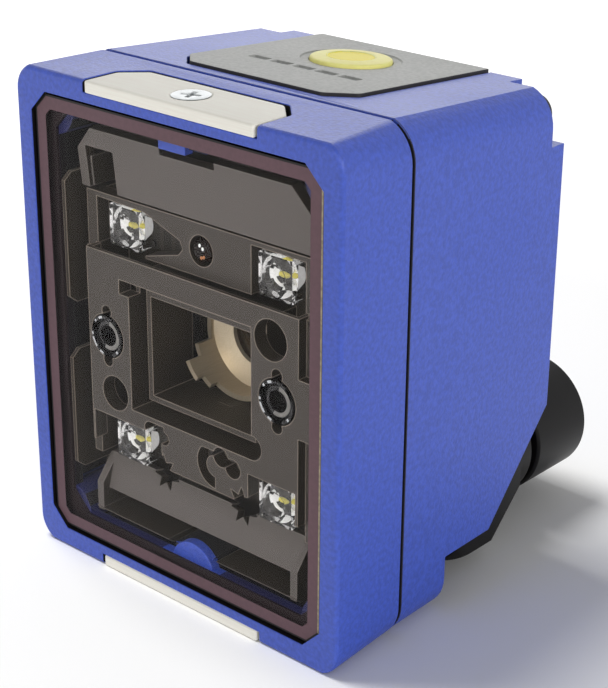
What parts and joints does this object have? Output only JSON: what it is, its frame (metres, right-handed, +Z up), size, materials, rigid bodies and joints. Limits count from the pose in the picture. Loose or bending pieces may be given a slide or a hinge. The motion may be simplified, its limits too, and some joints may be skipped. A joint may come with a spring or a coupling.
{
  "type": "fixed barcode reader",
  "caption": "Compact fixed barcode reader: blue two-part housing, window over a lamp chassis and lens, top panel with push button, turning rear connector block.",
  "frame": {"origin": "middle of the bounding box on the ground, under the housing", "axes": "front with the window looks to -Y, +X to the right seen from the front, +Z up"},
  "size_m": [0.0474, 0.053, 0.0587],
  "materials": {
    "housing_blue": "fine powder coat",
    "clip_plate": "satin anodised",
    "window": "clear, lightly coated",
    "seal_rubber": "matt",
    "bright_steel": "bright",
    "black_steel": "black oxide",
    "panel_grey": "fine texture",
    "light_guide": "clear",
    "button_yellow": "satin",
    "chassis_taupe": "matt",
    "lamp_lens": "clear",
    "lamp_chip": "phosphor",
    "barrel_bronze": "anodised",
    "board": "circuit board",
    "black_plastic": "satin",
    "connector_shell": "black, satin",
    "gold_contact": "gold plated"
  },
  "bodies": {
    "housing": {"front_bezel": "housing_blue", "rear_body": "housing_blue", "seam_gasket": "seal_rubber", "window": "window", "window_seal": "seal_rubber", "top_clip": "clip_plate", "bottom_clip": "clip_plate", "top_clip_screw": "bright_steel", "bottom_clip_screw": "bright_steel", "housing_screw_1": "black_steel", "housing_screw_2": "black_steel", "housing_screw_3": "black_steel", "housing_screw_4": "black_steel", "top_panel": "panel_grey", "light_guide": "light_guide", "panel_board": "board", "button_switch": "board", "light_chassis": "chassis_taupe", "upper_shade": "chassis_taupe", "lower_shade": "chassis_taupe", "upper_lamp_board": "board", "lower_lamp_board": "board", "lamp_lens_1": "lamp_lens", "lamp_lens_2": "lamp_lens", "lamp_lens_3": "lamp_lens", "lamp_lens_4": "lamp_lens", "lamp_1": "lamp_chip", "lamp_2": "lamp_chip", "lamp_3": "lamp_chip", "lamp_4": "lamp_chip", "aimer_left": "black_plastic", "aimer_right": "black_plastic", "target_sensor": "black_plastic", "lens_barrel": "barrel_bronze", "front_lens": "lamp_lens", "camera_holder": "black_plastic", "image_sensor": "board", "sensor_board": "board", "main_board": "board", "processor": "board", "heat_pad": "seal_rubber", "swivel_seal": "seal_rubber"},
    "button": {"push_button": "button_yellow"},
    "turret": {"connector_block": "black_plastic", "swivel_clip": "bright_steel", "power_shell": "connector_shell", "network_shell": "connector_shell", "power_insert": "black_plastic", "network_insert": "black_plastic", "power_pins": "gold_contact", "network_contacts": "gold_contact", "block_screw_1": "bright_steel", "block_screw_2": "bright_steel"}
  },
  "joints": [
    {"name": "button_press", "type": "slide", "parent": "housing", "child": "button", "axis": [0, -0.0676, -0.9977], "range_m": [0, 0.0003], "stiffness_N_per_m": 1500, "springref_m": -0.0005},
    {"name": "connector_swivel", "type": "hinge", "parent": "housing", "child": "turret", "pos_m": [0, 0.00565, 0.0124], "axis": [0, 0.7071, -0.7071], "range_deg": [0, 180]}
  ]
}
